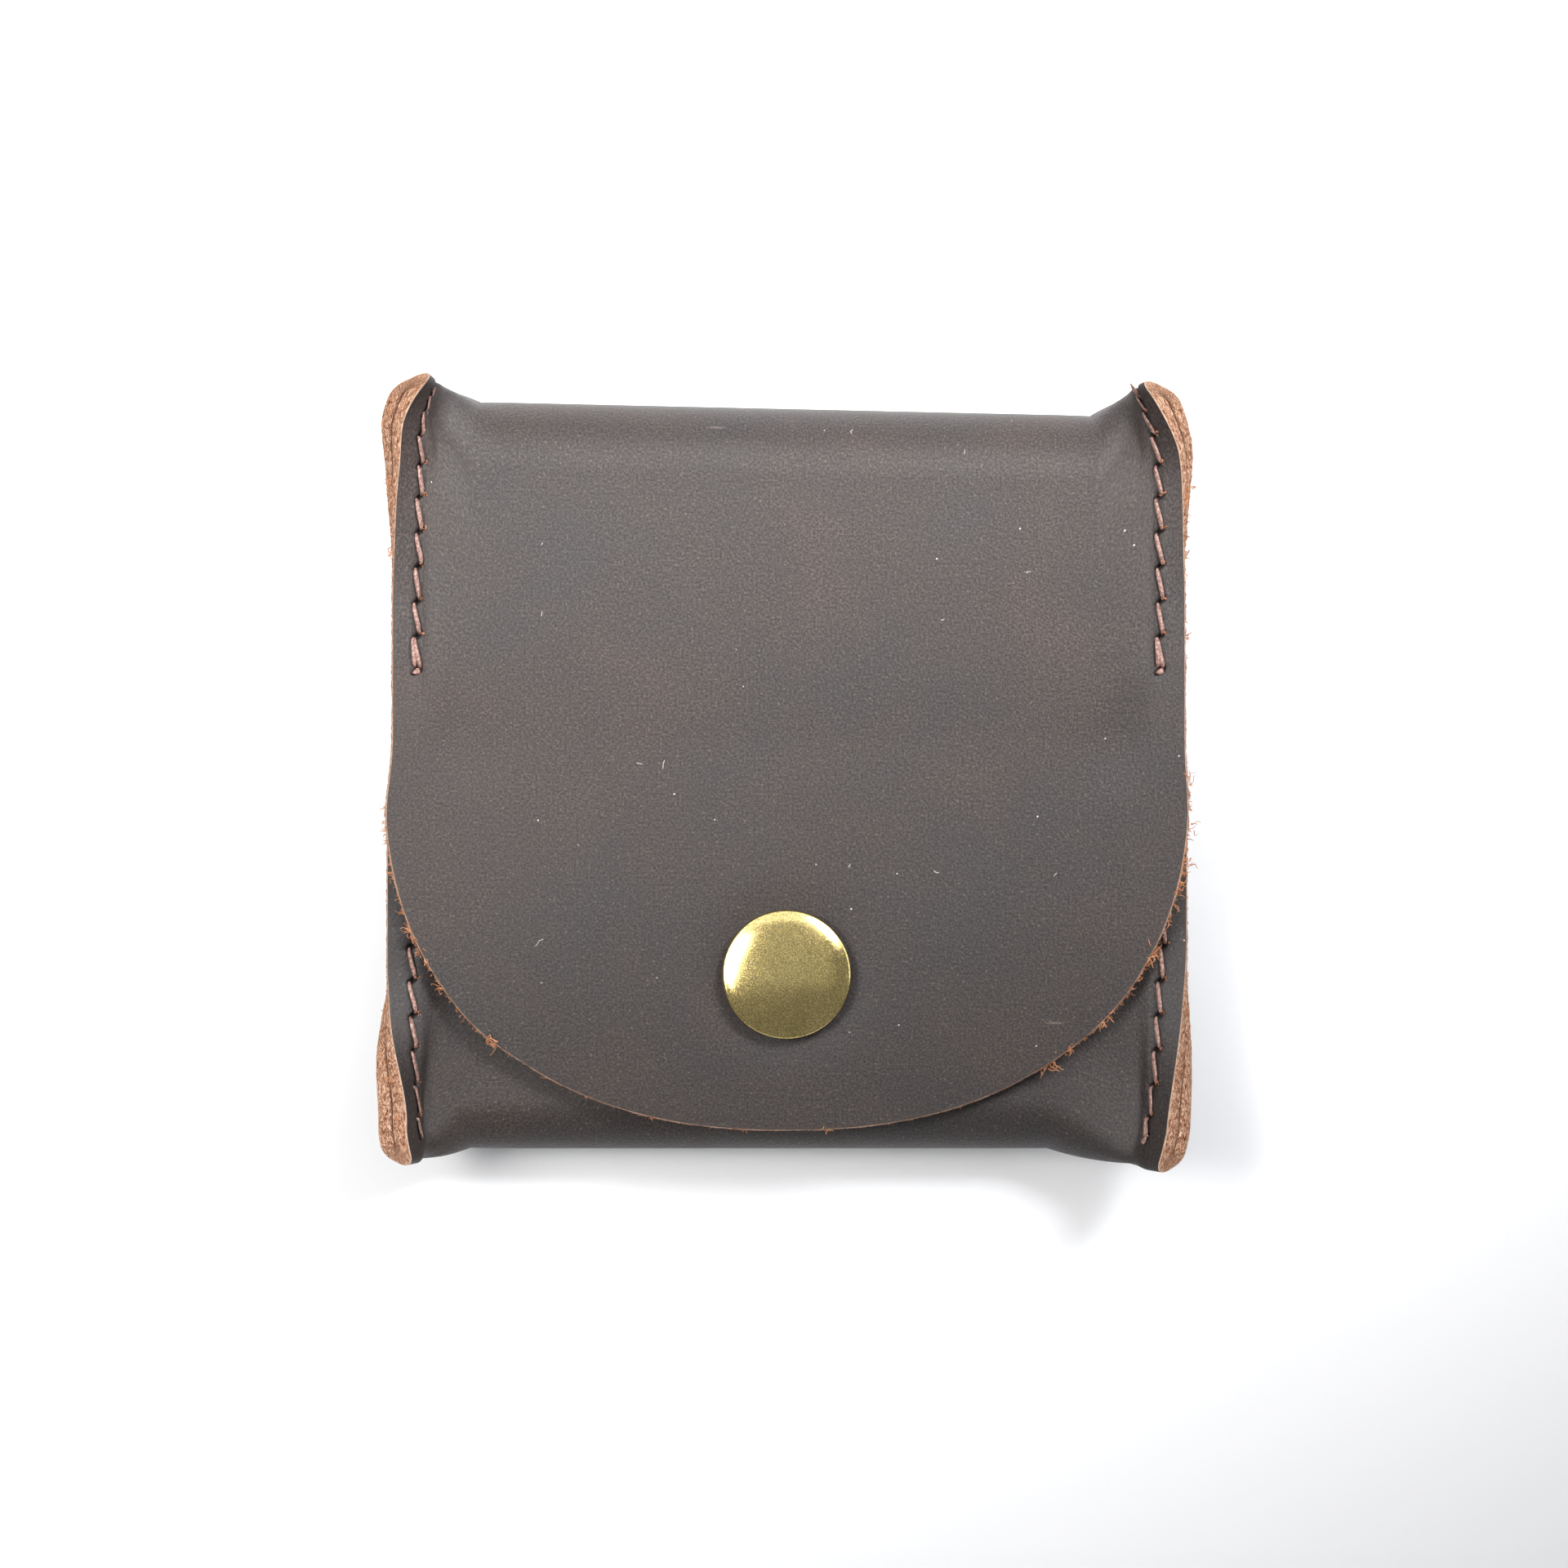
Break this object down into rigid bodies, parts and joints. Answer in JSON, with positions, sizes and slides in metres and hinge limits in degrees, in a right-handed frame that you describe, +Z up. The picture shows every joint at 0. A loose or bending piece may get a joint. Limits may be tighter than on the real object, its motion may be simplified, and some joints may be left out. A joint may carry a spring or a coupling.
{
  "type": "business card case",
  "caption": "Pillow-shaped leather card case folded from one strip, sewn down both sides, with a round front flap closed by a brass press snap.",
  "frame": {"origin": "centre of the bounding box's bottom, on the surface the back panel lies on", "axes": "+Z up out of the back panel towards the flap, +Y from the snap towards the top fold, +X across the case"},
  "size_m": [0.0952, 0.0928, 0.0183],
  "materials": {
    "strip_leather": "fine-grained matt chrome-tanned leather, tan at cut edges",
    "flap_leather": "fine-grained matt chrome-tanned leather, tan at cut edges",
    "thread": "waxed linen thread",
    "snap_brass": "satin",
    "snap_steel": "bright spring wire"
  },
  "bodies": {
    "case": {"case_body": "strip_leather", "seam_thread_upper_left": "thread", "seam_thread_upper_right": "thread", "seam_thread_lower_left": "thread", "seam_thread_lower_right": "thread", "snap_stud": "snap_brass", "snap_post": "snap_brass"},
    "flap": {"flap": "flap_leather", "snap_cap": "snap_brass", "snap_socket": "snap_brass", "snap_spring": "snap_steel"}
  },
  "joints": [
    {"name": "flap_hinge", "type": "hinge", "parent": "case", "child": "flap", "pos_m": [0, 0.0092, 0.0163], "axis": [-1, 0, 0], "range_deg": [0, 135]}
  ]
}
